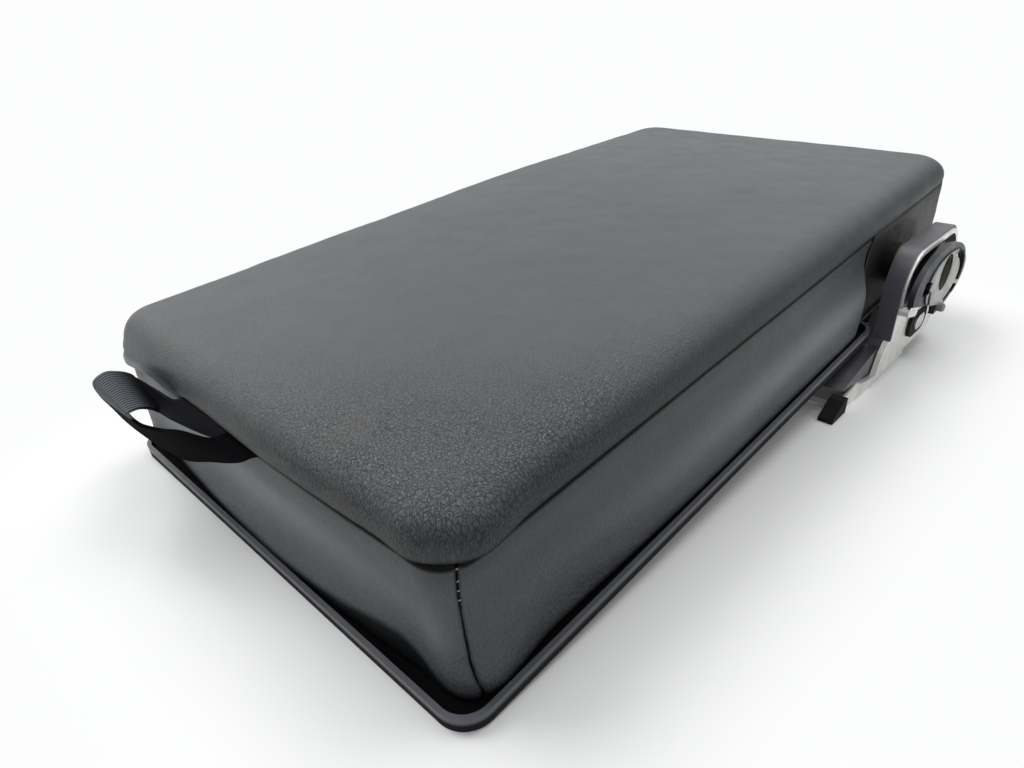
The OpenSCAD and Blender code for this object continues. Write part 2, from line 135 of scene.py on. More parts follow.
class Shader:
    """A material under construction: each call adds nodes and returns an output of the last one."""

    def __init__(self, name):
        self.material = bpy.data.materials.new(name)
        self.material.use_nodes = True
        self.tree = self.material.node_tree
        self.tree.nodes.clear()
        self.out = self.tree.nodes.new("ShaderNodeOutputMaterial")
        self.bsdf = self.tree.nodes.new("ShaderNodeBsdfPrincipled")
        self.tree.links.new(self.bsdf.outputs[0], self.out.inputs[0])

    def set(self, socket, value):
        if isinstance(value, bpy.types.NodeSocket):
            self.tree.links.new(value, socket)
        else:
            socket.default_value = value

    def node(self, kind, output=0, props=None, **inputs):
        """Add a node whose inputs are given by name, or by number as i0, i1 and so on."""
        new = self.tree.nodes.new("ShaderNode" + kind)
        for key, value in (props or {}).items():
            setattr(new, key, value)
        for key, value in inputs.items():
            numbered = key[0] == "i" and key[1:].isdigit()
            self.set(new.inputs[int(key[1:]) if numbered else key], value)
        return new.outputs[output]

    def math(self, operation, a, b=0.0):
        return self.node("Math", props={"operation": operation}, i0=a, i1=b)

    def add(self, a, b):
        return self.math("ADD", a, b)

    def times(self, a, b):
        return self.math("MULTIPLY", a, b)

    def less(self, a, b):
        return self.math("SUBTRACT", a, b)

    def rest_of(self, share, weight):
        """What is left of 1 without a weighted share."""
        return self.less(1.0, self.times(share, weight))

    def vector(self, operation, a, b):
        return self.node("VectorMath", props={"operation": operation}, i0=a, i1=b)

    def separate(self, vector):
        parts = self.tree.nodes.new("ShaderNodeSeparateXYZ")
        self.set(parts.inputs[0], vector)
        return parts.outputs

    def coords(self, stretch=(1, 1, 1)):
        """Place on the piece in mm, squeezed along chosen axes."""
        return self.vector("MULTIPLY", self.node("TexCoord", "Object"), tuple(MM_PER_M * s for s in stretch))

    def armrest(self):
        """Place in the armrest's own frame, in mm: across, back from the front edge, and up from the base."""
        x, y, z = self.separate(self.coords())
        c, s = math.cos(LEAN), math.sin(LEAN)
        y, z = self.less(y, CENTRE_Y), self.less(z, PIVOT_H)
        back = self.add(self.times(y, c), self.times(z, s))
        up = self.less(self.times(z, c), self.times(y, s))
        return x, self.add(back, PIVOT_Y), self.add(up, PIVOT_Z)

    def noise(self, at, scale, detail=2.0, rough=0.5):
        return self.node("TexNoise", "Fac", Vector=at, Scale=scale, Detail=detail, Roughness=rough)

    def voronoi(self, at, scale, feature="F1"):
        return self.node("TexVoronoi", "Distance", props={"feature": feature}, Vector=at, Scale=scale)

    def ramp(self, x, low, high, a=0.0, b=1.0):
        """Soft step from a where x is low to b where x is high."""
        soft = {"interpolation_type": "SMOOTHSTEP"}
        return self.node("MapRange", props=soft, i0=x, i1=low, i2=high, i3=a, i4=b)

    def mix(self, share, a, b):
        new = self.tree.nodes.new("ShaderNodeMix")
        new.data_type = "RGBA"
        for number, value in zip(MIX_INPUTS, (share, a, b)):
            self.set(new.inputs[number], (*value, 1) if isinstance(value, tuple) else value)
        return new.outputs[MIX_OUTPUT]

    def warp(self, at, amount, scale):
        """Place shifted unevenly, by up to about half the amount."""
        shift = self.node("TexNoise", "Color", Vector=at, Scale=scale, Detail=2.0)
        shift = self.vector("SUBTRACT", shift, (0.5, 0.5, 0.5))
        return self.vector("ADD", at, self.vector("MULTIPLY", shift, (amount,) * 3))

    def attr(self, name):
        return self.node("Attribute", "Fac", props={"attribute_name": name})

    def bump(self, height, distance, **inputs):
        return self.node("Bump", Height=height, Distance=distance, **inputs)

    def finish(self, **inputs):
        for key, value in inputs.items():
            value = (*value, 1) if isinstance(value, tuple) else value
            self.set(self.bsdf.inputs[key.replace("_", " ")], value)
        return self.material


def tinted(tone, factors):
    """A tone times one number, or times one number for each channel."""
    factors = factors if isinstance(factors, tuple) else (factors,) * 3
    return tuple(c * f for c, f in zip(tone, factors))


def paler(tone, factor, lift=0.01):
    return tuple(c * factor + lift for c in tone)


# The leather's grain runs long up and down
GRAIN_STRETCH = (1, 1, 0.42)
# Scales of its pebbles, folds, pores, worn patches and large clouds, as 1 over their size in mm
PEBBLES, FOLDS, PORES, PATCHES, CLOUDS = 1.0, 0.8, 2.6, 0.06, 0.018
# Heights in metres of the leather's grain and of its soft unevenness
GRAIN_DEPTH, UNEVEN_DEPTH = 0.00017, 0.0006
# Colours of dusty and of worn leather
DUSTY, WORN = (0.1, 0.1, 0.09), (0.16, 0.15, 0.125)


def leather_grain(mat, at, crease):
    """Height of the leather's grain, with its pores, the grooves between its pebbles and its valleys."""
    bent = mat.warp(at, 1.3, 0.7)
    cells = mat.voronoi(bent, PEBBLES, "SMOOTH_F1")
    dome = mat.less(1.0, mat.times(cells, cells))
    groove = mat.ramp(mat.voronoi(bent, PEBBLES, "DISTANCE_TO_EDGE"), 0.0, 0.24)
    folds = mat.voronoi(mat.warp(at, 1.6, 0.6), FOLDS, "DISTANCE_TO_EDGE")
    valley = mat.ramp(folds, 0.0, 0.15)
    pores = mat.noise(at, PORES, 3.0, 0.65)
    height = mat.times(groove, mat.add(mat.times(crease, 0.75), 0.4))
    height = mat.add(height, mat.times(dome, 0.3))
    height = mat.add(height, mat.times(pores, 0.35))
    height = mat.add(height, mat.times(valley, mat.times(crease, 0.9)))
    return height, pores, groove, valley


def leather(name, tone, depth=1.0, marks=True):
    """Pebbled leather; the mesh says how creased and scuffed each place is, and where shade and highlight are
    painted.
    """
    mat = Shader(name)
    at = mat.coords(GRAIN_STRETCH)
    crease, shade = mat.attr("crease"), mat.attr("shade")
    height, pores, groove, valley = leather_grain(mat, at, crease)
    cloud = mat.noise(mat.coords(), CLOUDS, 3.0)
    patch = mat.noise(mat.coords(), PATCHES, 4.0, 0.65)
    base = mat.mix(mat.ramp(cloud, 0.36, 0.64), tone, tinted(tone, (0.94, 0.97, 0.97)))
    base = mat.mix(mat.times(mat.ramp(pores, 0.4, 0.75), 0.3), base, tinted(tone, 1.5))
    base = mat.mix(mat.times(crease, 0.55), base, tinted(tone, 2.4))
    # Painted shade in the grain's hollows, between the pebbles and in the fold valleys, with less gloss there
    between = mat.ramp(groove, 0.0, 0.9, 1.0, 0.0)
    base = mat.mix(mat.times(between, mat.add(mat.times(crease, 0.2), 0.25)), base, tinted(tone, 0.3))
    valley_shade = mat.times(mat.ramp(valley, 0.0, 1.0, 1.0, 0.0), mat.times(crease, 0.58))
    base = mat.mix(valley_shade, base, tinted(tone, 0.2))
    # Painted highlight where the mesh's light is, and painted shade where its shade is
    base = mat.mix(mat.attr("light"), base, tinted(tone, (4.0, 4.1, 3.9)))
    base = mat.mix(shade, base, tinted(tone, (0.05, 0.06, 0.06)))
    rough = mat.ramp(patch, 0.3, 0.7, 0.44, 0.5)
    gloss = mat.times(mat.times(mat.rest_of(valley_shade, 0.8), mat.rest_of(shade, 0.9)), 0.5)
    if marks:
        scuff = mat.times(mat.attr("scuff"), mat.ramp(patch, 0.42, 0.6))
        worn = mat.times(scuff, mat.ramp(mat.noise(at, 1.1, 3.0), 0.4, 0.66))
        base = mat.mix(mat.times(scuff, 0.4), base, DUSTY)
        base = mat.mix(mat.times(worn, 0.35), base, WORN)
        rough = mat.add(rough, mat.times(scuff, 0.08))
    normal = mat.bump(height, GRAIN_DEPTH * depth)
    normal = mat.bump(mat.noise(mat.coords(), 0.05), UNEVEN_DEPTH * depth, Strength=0.5, Normal=normal)
    return mat.finish(Base_Color=base, Roughness=rough, Normal=normal, Specular_IOR_Level=gloss)


# Spacing in mm of the tape's ribs and of the yarn across them
RIB, YARN = 1.05, 0.7


def webbing(name):
    """Ribbed woven tape; its map gives mm across and mm along."""
    mat = Shader(name)
    across, along = mat.separate(mat.node("UVMap", props={"uv_map": "tape"}))[:2]
    uneven = mat.times(mat.noise(mat.coords(), 0.12), 0.7)
    rib = mat.math("SINE", mat.times(mat.add(across, uneven), 2 * math.pi / RIB))
    rib = mat.add(mat.times(rib, 0.5), 0.5)
    yarn = mat.math("SINE", mat.times(along, 2 * math.pi / YARN))
    yarn = mat.add(mat.times(yarn, 0.5), 0.5)
    fuzz = mat.noise(mat.coords(), 2.5, 3.0, 0.7)
    height = mat.add(mat.times(rib, 0.9), mat.times(yarn, 0.2))
    height = mat.add(height, mat.times(fuzz, 0.2))
    # Painted highlight on the ribs' tops and painted shade in their grooves
    base = mat.mix(mat.ramp(rib, 0.1, 0.85), (0.025, 0.027, 0.031), (0.155, 0.163, 0.185))
    base = mat.mix(mat.times(fuzz, 0.3), base, (0.09, 0.094, 0.105))
    shade = mat.attr("shade")
    base = mat.mix(shade, base, (0.003, 0.003, 0.004))
    gloss = mat.times(mat.rest_of(shade, 0.9), 0.25)
    normal = mat.bump(height, 0.00022)
    return mat.finish(Base_Color=base, Roughness=0.85, Normal=normal, Specular_IOR_Level=gloss)


BASE_HALF_W, BASE_CORNER_R = 112.5, 11.0


def tray_shade(mat):
    """Share of painted shade on the base: in the channel behind its lip, and low on the lip's outer face."""
    across, back, up = mat.armrest()
    out = mat.less(mat.math("ABSOLUTE", across), BASE_HALF_W - BASE_CORNER_R)
    out, fore = (mat.math("MAXIMUM", v, 0.0) for v in (out, mat.less(BASE_CORNER_R, back)))
    reach = mat.math("SQRT", mat.add(mat.times(out, out), mat.times(fore, fore)))
    depth = mat.less(BASE_CORNER_R, reach)
    channel = mat.times(mat.ramp(depth, 1.0, 1.6), mat.ramp(up, 4.4, 5.3, 1.0, 0.0))
    face = mat.times(mat.ramp(depth, 0.5, 1.0, 1.0, 0.0), mat.ramp(up, 2.2, 4.2, 1.0, 0.0))
    return mat.math("MAXIMUM", channel, mat.times(face, 0.9))


def plastic(name, tone, rough, tray=False):
    """Moulded plastic with a fine spark texture, dust and paler worn edges; on the tray, painted shade too.
    """
    mat = Shader(name)
    at = mat.coords()
    spark = mat.noise(at, 1.9, 2.0, 0.6)
    dust = mat.noise(at, 0.09, 5.0, 0.7)
    worn = mat.times(mat.ramp(mat.node("NewGeometry", "Pointiness"), 0.505, 0.56), 0.5)
    base = mat.mix(mat.ramp(dust, 0.35, 0.7), tone, paler(tone, 1.35, 0.004))
    base = mat.mix(worn, base, paler(tone, 2.4))
    matt = mat.ramp(dust, 0.3, 0.75, rough - 0.05, rough + 0.1)
    if tray:
        # Painted shade in the base's channel and low on its lip
        shade = tray_shade(mat)
        base = mat.mix(shade, base, (0.0022, 0.0022, 0.0026))
        matt = mat.add(matt, mat.times(shade, 0.4))
        mat.finish(Specular_IOR_Level=mat.times(mat.rest_of(shade, 0.9), 0.5))
    height = mat.add(spark, mat.times(mat.voronoi(at, 1.4), 0.6))
    return mat.finish(Base_Color=base, Roughness=matt, Normal=mat.bump(height, 0.00003))


# Drawing marks along a bracket, and marks without a direction
DRAWN, EVEN = (0.15, 1, 1), (1, 1, 1)
# Distance from the middle plane at which a stop plate steps up to its raised land
STEP_IN, STEP_OUT = 127.6, 128.2


def steel(name, tone, rough, streak=DRAWN, wear=0.3, low=None):
    """Plated steel with drawing marks, clouds and stains; low is the painted shade on a stop plate's lower
    step.
    """
    mat = Shader(name)
    lines = mat.noise(mat.coords(streak), 1.6, 4.0, 0.7)
    cloud = mat.noise(mat.coords(), 0.12, 4.0, 0.6)
    stains = mat.ramp(mat.noise(mat.coords(), 0.45, 3.0, 0.7), 0.6, 0.72)
    base = mat.mix(mat.ramp(cloud, 0.35, 0.68), tone, tinted(tone, 0.82))
    base = mat.mix(mat.times(stains, wear), base, tinted(tone, (0.55, 0.5, 0.42)))
    if low:
        # Painted shade on the stop plate's lower step, below its raised land
        across = mat.math("ABSOLUTE", mat.armrest()[0])
        base = mat.mix(mat.ramp(across, STEP_IN, STEP_OUT, 1.0, 0.0), base, low)
    matt = mat.add(mat.ramp(cloud, 0.3, 0.7, rough - 0.06, rough + 0.1), mat.times(lines, 0.1))
    return mat.finish(Base_Color=base, Metallic=1.0, Roughness=matt, Normal=mat.bump(lines, 0.00003))


def rubber(name, tone):
    mat = Shader(name)
    at = mat.coords()
    base = mat.mix(mat.ramp(mat.noise(at, 0.2, 5.0, 0.7), 0.45, 0.75), tone, paler(tone, 2.2))
    normal = mat.bump(mat.noise(at, 1.2, 3.0), 0.00008)
    return mat.finish(Base_Color=base, Roughness=0.75, Specular_IOR_Level=0.15, Normal=normal)


def foam(name):
    mat = Shader(name)
    pores = mat.voronoi(mat.coords(), 0.9)
    base = mat.mix(mat.ramp(pores, 0.1, 0.6), (0.42, 0.36, 0.22), (0.72, 0.66, 0.46))
    return mat.finish(Base_Color=base, Roughness=0.95, Normal=mat.bump(pores, 0.0004))


TONE = (0.054, 0.058, 0.067)
M_TOP = leather("top_leather", TONE)
# The front and side covers take the top's leather at 0.62 of its tone: painted shade on the upright covers
M_SHADED_SIDE = leather("shaded_side_leather", tinted(TONE, 0.62), 0.9, False)
# The rear cover takes the top's leather at 0.3 of its tone
M_REAR = leather("rear_leather", tinted(TONE, 0.3), 0.6, False)
M_STRAP = webbing("strap_webbing")
M_BASE = plastic("base_plastic", (0.034, 0.036, 0.042), 0.38, True)
M_COVER = plastic("cover_plastic", (0.027, 0.027, 0.034), 0.42)
M_BRACKET = steel("bracket_steel", (0.76, 0.765, 0.74), 0.36, wear=0.2)
M_PLATE = steel("plate_steel", (0.33, 0.335, 0.325), 0.4, EVEN, 0.5, (0.035, 0.036, 0.042))
M_TUBE = steel("tube_steel", (0.2, 0.165, 0.14), 0.42, EVEN, 0.7)
M_PIN = steel("pin_steel", (0.2, 0.2, 0.21), 0.38)
M_STUD = steel("stud_steel", (0.62, 0.62, 0.61), 0.3)
M_SCREW = steel("screw_steel", (0.5, 0.5, 0.5), 0.3)
M_FRAME = plastic("frame_paint", (0.02, 0.02, 0.021), 0.5)
M_BUSH = plastic("bush_plastic", (0.006, 0.006, 0.0075), 0.4)
M_RUBBER = rubber("rubber_black", (0.006, 0.006, 0.0065))
M_FOAM = foam("foam")
M_THREAD = Shader("thread").finish(Base_Color=(0.36, 0.36, 0.35), Roughness=0.7)

# Top pad

# The pad's outline: half its width, its front and rear ends, and the radii of its corners
HALF_W, PAD_Y0, PAD_Y1 = 105.9, 4.4, 404.4
HALF_L, MID_Y = (PAD_Y1 - PAD_Y0) / 2, (PAD_Y1 + PAD_Y0) / 2
PAD_R_FRONT, PAD_R_REAR = 17.0, 20.0
# The pad's edge: inset and height of its tucked under side, and the rounding above it
TUCKED = [(6.0, 53.3), (3.0, 53.1), (1.7, 53.1), (0.9, 53.5), (0.35, 54.3), (0.05, 55.5), (-0.1, 57.2)]
ROUND_AT, ROUND_SIZE, ROUND_POWER = (13.5, 57.3), (13.6, 13.4), 2.2
FLAT = [(19, 70.85), (30, 71.0), (60, 71.2)]
# Heights between which the crown sets in, its rise, and how far it falls to the rear
TUCK_Z, TOP_Z = 53.3, 71.0
CROWN, REAR_FALL = 3.0, 4.0
# The pad counts as flat from this inset on, and its mesh has squares of this size
FLAT_INSET, PAD_STEP = 30, 1.5
# The closed under side of the pad: its height, and its size as a share of the seam's outline
UNDER_Z, UNDER_SIZE = 53.6, (0.9, 0.95)
# Height, width and strength of the ridge and of the groove above it on the left part of the front edge
RIDGE, GROOVE = (54.6, 1.2, 0.9), (57.6, 1.0, 0.5)
# How far that part hangs lower
DROP = 1.8
# How far the cover lies further left and forward at the front left corner, and further still low down there
LEFT_SHIFT, LOW_SHIFT = (1.4, 0.8), (0.3, 0.9)
# Scuffed places on the pad: centre, reach across and along, and strength
SCUFFS = [(-40, 14, 26, 10, 1.0), (20, 17, 34, 11, 0.9), (60, 24, 24, 13, 0.7), (-88, 14, 16, 14, 0.7),
          (-70, 60, 20, 40, 0.15), (98, 90, 7, 60, 0.3)]


def bow(x, y):
    """How far the front edge curves back away from its middle; the shift dies out towards the rear."""
    return 3.0 * (np.abs(x) / 85) ** 2.2 * np.exp(-np.maximum(y, 0) / 45)


def pad_corners(x, y, z):
    """The pad's near corner bulges, and its low left corner reaches further forward."""
    side = 2.0 * bell(y, 22, 12) * smooth(80, 104, x)
    front = 1.3 * bell(x, 92, 9) * smooth(30, 12, y)
    left = smooth(-62, -92, x) * (0.3 + 0.6 * smooth(62, 56, z)) * bow(x, y)
    return x + side, y - front - left


def settle(p):
    """The cover sits a little further out towards the front left corner, and most below the pad's edge."""
    p = p.copy()
    share = smooth(-30, -105, p[:, 0]) * smooth(330, 10, p[:, 1])
    p[:, 0] -= LEFT_SHIFT[0] * share
    low = smooth(-78, -104, p[:, 0]) * smooth(60, 20, p[:, 1]) * smooth(57, 52, p[:, 2])
    p[:, 0] -= LOW_SHIFT[0] * low
    p[:, 1] -= LOW_SHIFT[1] * low
    p[:, 1] -= LEFT_SHIFT[1] * share
    return p


def pad_profile():
    """Inset from the outline and height along the pad's edge, from the tucked seam to the flat top."""
    points = list(TUCKED)
    for t in np.linspace(4, 90, 30):
        c, s = math.cos(math.radians(t)), math.sin(math.radians(t))
        points.append((ROUND_AT[0] - ROUND_SIZE[0] * c ** (2 / ROUND_POWER),
                       ROUND_AT[1] + ROUND_SIZE[1] * s ** (2 / ROUND_POWER)))
    points = np.array(points + FLAT)
    length = np.concatenate([[0], np.cumsum(np.linalg.norm(np.diff(points, axis=0), axis=1))])
    return points, length


def pad_grid():
    """Points of the pad as a grid in u and v, and how far each lies from the grid's edge.

    The grid is the pad's skin laid flat, so its rim reaches past the outline by what the edge's profile is
    longer than it is wide.
    """
    profile, length = pad_profile()
    rising = len(TUCKED) + 1
    flat_at = np.interp(FLAT_INSET, profile[rising:, 0], length[rising:])
    extra = flat_at - FLAT_INSET
    reach_u, reach_v = HALF_W + extra, HALF_L + extra
    count_u, count_v = int(2 * reach_u / PAD_STEP) | 1, int(2 * reach_v / PAD_STEP) | 1
    u, v = np.meshgrid(np.linspace(-reach_u, reach_u, count_u), np.linspace(-reach_v, reach_v, count_v),
                       indexing="ij")
    radius = np.where(v < 0, PAD_R_FRONT, PAD_R_REAR)
    skin_r = radius + extra
    au, av = np.abs(u), np.abs(v)
    past_u, past_v = au - (reach_u - skin_r), av - (reach_v - skin_r)
    corner = (past_u > 0) & (past_v > 0)
    past = np.maximum(np.maximum(past_u, past_v), 1e-9)
    turn = np.where(past_u >= past_v, math.pi / 4 * past_v / past, math.pi / 2 - math.pi / 4 * past_u / past)
    depth = np.where(corner, skin_r - past, np.minimum(reach_u - au, reach_v - av))
    inset = np.where(depth < flat_at, np.interp(depth, length, profile[:, 0]), depth - extra)
    z = np.interp(np.minimum(depth, length[-1]), length, profile[:, 1])
    bend = np.maximum(radius - inset, 0)
    x = np.where(corner, (HALF_W - radius) + bend * np.cos(turn), np.where(past_u > 0, HALF_W - inset, au))
    y = np.where(corner, (HALF_L - radius) + bend * np.sin(turn), np.where(past_v > 0, HALF_L - inset, av))
    x, y = x * np.sign(u), y * np.sign(v) + MID_Y
    crown = (1 - (np.abs(x) / 108) ** 2.4) * (1 - (np.abs(y - MID_Y) / 202) ** 2.6)
    z = z + smooth(TUCK_Z, TOP_Z, z) * (CROWN * crown - REAR_FALL * smooth(210, 400, y) ** 1.3)
    y = y + bow(x, y)
    x, y = pad_corners(x, y, z)
    return np.stack([x, y, z], 2), depth


def left_front(x, y):
    """Share of the pad's front edge that has a fold along it, to the left of the strap."""
    return smooth(-36, -56, x) * smooth(40, 16, y)


def pad_moves(flat):
    """How far each point of the pad moves along its normal: unevenness, fold, and a dent over the strap."""
    x, y, z = flat.T
    lift = smooth(TUCK_Z, 60, z)
    move = 0.3 * waves(flat, 70, 11) * lift + 0.10 * waves(flat, 17, 12) * lift
    fold = RIDGE[2] * bell(z, *RIDGE[:2]) - GROOVE[2] * bell(z, *GROOVE[:2])
    move += fold * left_front(x, y) * (z < 66)
    return move - 0.7 * bell(x, -20, 26) * smooth(60, 55, z) * smooth(30, 10, y)


def pad_marks(pad, x, y, z, depth):
    """Say on the pad's mesh where it is creased and scuffed, and where shade and highlight are painted on it.
    """
    near = bell(x, 84, 62) * bell(y, 26, 60)
    front = smooth(56, 8, y) * smooth(-110, -30, x)
    side = smooth(72, 98, x) * smooth(330, 60, y)
    crease = np.clip(0.95 * near + 0.4 * front + 0.5 * side, 0, 1)
    attribute(pad, "crease", crease * (0.45 + 0.55 * smooth(55, 66, z)))
    right = np.maximum(smooth(60, 100, x), smooth(60, 20, y) * smooth(-40, 40, x))
    # Painted shade on the edge's roll, most on the right and near side, and under the edge except at the left
    # front fold
    shade = (0.15 + 0.46 * right) * smooth(69.0, 62, z) + 0.5 * smooth(56, 53.6, z) * (1 - left_front(x, y))
    attribute(pad, "shade", np.clip(shade, 0, 1))
    # Painted highlight along the ridge of the left front fold
    attribute(pad, "light", left_front(x, y) * bell(z, 54.0, 1.1))
    scuff = sum(weight * bell(x, cx, rx) * bell(y, cy, ry) for cx, cy, rx, ry, weight in SCUFFS)
    attribute(pad, "scuff", np.clip(scuff + 0.2 * smooth(24, 8, depth) * smooth(80, 10, y), 0, 1))


def make_pad():
    grid, depth = pad_grid()
    flat = grid.reshape(-1, 3)
    x, y, z = flat.T
    moved = flat + normals_of(grid).reshape(-1, 3) * pad_moves(flat)[:, None]
    moved[:, 2] -= DROP * left_front(x, y) * smooth(59, 54, z)
    flat = settle(moved)
    rows, cols = grid.shape[:2]
    faces = grid_faces(rows, cols)
    ring = ([i * cols for i in range(rows)] + [(rows - 1) * cols + j for j in range(1, cols)]
            + [i * cols + cols - 1 for i in range(rows - 2, -1, -1)] + [j for j in range(cols - 2, 0, -1)])
    base, count = len(flat), len(ring)
    under = flat[ring].copy()
    centre = np.array([0, MID_Y])
    under[:, :2] = centre + (under[:, :2] - centre) * np.array(UNDER_SIZE)
    under[:, 2] = UNDER_Z
    points = np.concatenate([flat, under])
    for i in range(count):
        after = (i + 1) % count
        faces.append((ring[after], base + after, base + i, ring[i]))
    faces.append(tuple(base + i for i in range(count))[::-1])
    pad = mesh_object("top_cushion", place(points), faces, M_TOP)
    pad_marks(pad, *points.T, np.concatenate([depth.ravel(), np.zeros(count)]))
    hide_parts("top_pad")


# Side cover

# Angle of the corner seam around the corner, from the side
SEAM = math.radians(27)
# Height of the sewn cover's rows, from the tuck under the pad to the tuck in the base
ROWS = np.concatenate([[53.5, 52.9, 52.7, 52.4, 52.1, 51.7], np.linspace(51.1, 4.3, 42),
                       [3.8, 3.3, 3.0, 2.8, 2.6]])
PANEL_TOP = 52
# Inset of the cover from the pad's outline: height, at the corner seam, along the front, along the side
INSETS = [(2.6, 2.0, 2.2, 1.0), (2.9, 0.3, 0.6, -1.4), (3.4, -0.9, -0.6, -2.9), (4.6, -1.3, -1.2, -3.4),
          (6.5, -0.9, -1.3, -3.6), (9, -0.2, -1.1, -3.7), (13, 0.6, -0.5, -3.6), (17, 1.3, 0.7, -3.5),
          (21.5, 1.8, 2.2, -3.2), (26, 2.1, 3.3, -2.5), (31, 2.1, 3.7, -0.8), (36, 1.9, 3.4, 1.3),
          (40, 1.6, 3.0, 2.5), (44, 1.4, 2.6, 2.9), (49.5, 1.6, 1.9, 2.1), (51.5, 2.1, 2.2, 2.3),
          (52.4, 3.2, 3.2, 3.2), (52.9, 4.6, 4.6, 4.6), (53.5, 7.0, 7.0, 7.0)]
HEIGHTS, AT_SEAM, AT_FRONT, AT_SIDE = zip(*INSETS)
# Distances from the seam at which the cover starts to change its shape, and ends on the front and on the side
SHAPE_FROM, SHAPE_FRONT, SHAPE_SIDE = 8, 70, 120
# Corner seam: its place at given heights
SEAM_Z = [5, 11, 18, 26, 35, 44, 52]
SEAM_X = [107.4, 106.8, 105.3, 104.3, 103.2, 102.8, 102.3]
SEAM_Y = [13.0, 12.0, 11.9, 12.0, 13.0, 14.0, 15.1]
# Radius at which a panel turns in at the corner seam, and the columns of points on that turn
ROLL = 2.2
ROLL_COLUMNS = np.linspace(0, 2.4, 9)


def over(z, s, side):
    """Inset of the cover at a height and at a distance from the corner seam, on the front or on the side."""
    seam = np.interp(z, HEIGHTS, AT_SEAM)
    far = np.interp(z, HEIGHTS, AT_SIDE if side else AT_FRONT)
    return seam + (far - seam) * smooth(SHAPE_FROM, SHAPE_SIDE if side else SHAPE_FRONT, s)


def plan(s, inset, side):
    """Point of the cover's plan at path length s from the corner seam, on the front or on the side."""
    r = PAD_R_FRONT - inset
    turn = SEAM if side else math.pi / 2 - SEAM
    turned = np.clip(s / PAD_R_FRONT, 0, turn)
    angle = SEAM - turned if side else SEAM + turned
    past = np.maximum(s - PAD_R_FRONT * turn, 0)
    x = HALF_W - PAD_R_FRONT + r * np.cos(angle)
    y = PAD_Y0 + PAD_R_FRONT - r * np.sin(angle)
    return (x, y + past) if side else (x - past, y)


def to_seam(grid, s, side):
    """Grid of a panel with its edge at s = 0 brought to the corner seam, and its neighbourhood with it."""
    z = grid[0, :, 2]
    x, y = plan(np.zeros_like(z), over(z, 0.0, side), side)
    shift = np.stack([np.interp(z, SEAM_Z, SEAM_X) - x, np.interp(z, SEAM_Z, SEAM_Y) - y, 0 * z], 1)
    return grid + shift[None] * smooth(30, 2, s)[:, None, None]


def rolled(s):
    """How far a panel turns in near its sewn edge at s = 0."""
    q = np.clip(1 - s / ROLL, 0, 1)
    return ROLL * (1 - np.sqrt(np.maximum(1 - q * q, 0)))


def front_tones(x, y, z):
    """Height up to which the front gets painted shade in the base, and the painted highlight band along it.
    """
    tuck = 8.5 + 5.5 * bell(x, 76, 26) * smooth(100, 76, x) - 3.5 * smooth(92, 106, np.abs(x))
    highlight_band = (0.27 + 0.85 * smooth(105, -20, x) - 0.1 * smooth(-40, -80, x)) * bell(z, 30, 9)
    return tuck, highlight_band * smooth(106, 98, np.abs(x))


def side_tones(x, y, z):
    """Height up to which a side gets painted shade in the base, and the painted highlight band along it."""
    highlight_band = (0.14 + 0.85 * smooth(40, 230, y)) * bell(z, 25.5, 7) * smooth(14, 40, y)
    return np.full_like(z, 4.8), highlight_band


def rear_tones(x, y, z):
    """Height up to which the rear gets painted shade in the base; it has no painted highlight band."""
    return np.full_like(z, 4.8), np.zeros_like(z)


def panel_mesh(name, grid, replaced, material, seed, flip, tones, dark=0.0):
    """A sewn panel of the cover, with seeded unevenness, its painted shade and highlight, and the leather's
    thickness.
    """
    flat = grid.reshape(-1, 3)
    z = flat[:, 2]
    lift = smooth(3, 9, z) * smooth(52.5, 47, z)
    coarse, fine = waves(flat * [1, 1, 2.2], 60, seed), waves(flat * [1, 1, 2], 14, seed + 1)
    move = (0.35 * coarse + 0.1 * fine) * lift
    sign = -1 if flip else 1
    flat = settle(flat + sign * normals_of(grid).reshape(-1, 3) * move[:, None])
    rows, cols = grid.shape[:2]
    obj = mesh_object(name, place(flat), grid_faces(rows, cols, flip=flip), material)
    attribute(obj, "crease", 0.22 * smooth(40, 10, z) + 0.12)
    # Painted shade under the pad's edge, and low down where the cover goes into the base; dark adds the same
    # darkening evenly
    under_pad_shade = 0.2 * smooth(44, 49.5, z) + 0.8 * smooth(50.4, 51.2, z)
    tuck, highlight_band = tones(flat[:, 0], flat[:, 1], z)
    attribute(obj, "shade", np.clip(dark + under_pad_shade + 0.95 * smooth(tuck + 2, tuck - 2, z), 0, 1))
    attribute(obj, "light", np.clip(highlight_band, 0, 1))
    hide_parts(replaced)
    thick = obj.modifiers.new("thickness", "SOLIDIFY")
    thick.thickness, thick.offset = 0.0012, -1


def mirrored(right):
    """The left half of a panel's grid, from its right half, which ends at the middle plane."""
    left = right[::-1].copy()
    left[:, :, 0] *= -1
    return left


def make_front():
    half = HALF_W - PAD_R_FRONT + PAD_R_FRONT * (math.pi / 2 - SEAM)
    columns = np.concatenate([ROLL_COLUMNS, np.linspace(3.4, half, int(half / 1.7))])
    s, z = np.meshgrid(columns, ROWS, indexing="ij")
    x, y = plan(s, over(z, s, False) + rolled(s), False)
    low = 1 - z / PANEL_TOP
    y = y + (bow(x, y) * (0.7 + 0.7 * low) - 1.2 * low * (1 - (x / 100) ** 2)) * smooth(2, 24, s)
    right = to_seam(np.stack([x, y, z], 2), columns, False)
    grid = np.concatenate([right, mirrored(right)[1:]])
    panel_mesh("front_cover", grid, "front_panel", M_SHADED_SIDE, 31, True, front_tones)


# Slanted rear edge of the side covers: its distance from the front at the base and at the pad
EDGE_FOOT, EDGE_TOP = 275.0, 293.0
# Radius at which the side covers turn in there, and how far in they reach
EDGE_TURN, EDGE_REACH = 1.2, 4.5
# Length over which a side cover's columns are spread past the corner
SIDE_LENGTH = 260


def rear_edge(z):
    return EDGE_FOOT + (EDGE_TOP - EDGE_FOOT) * np.asarray(z) / PANEL_TOP


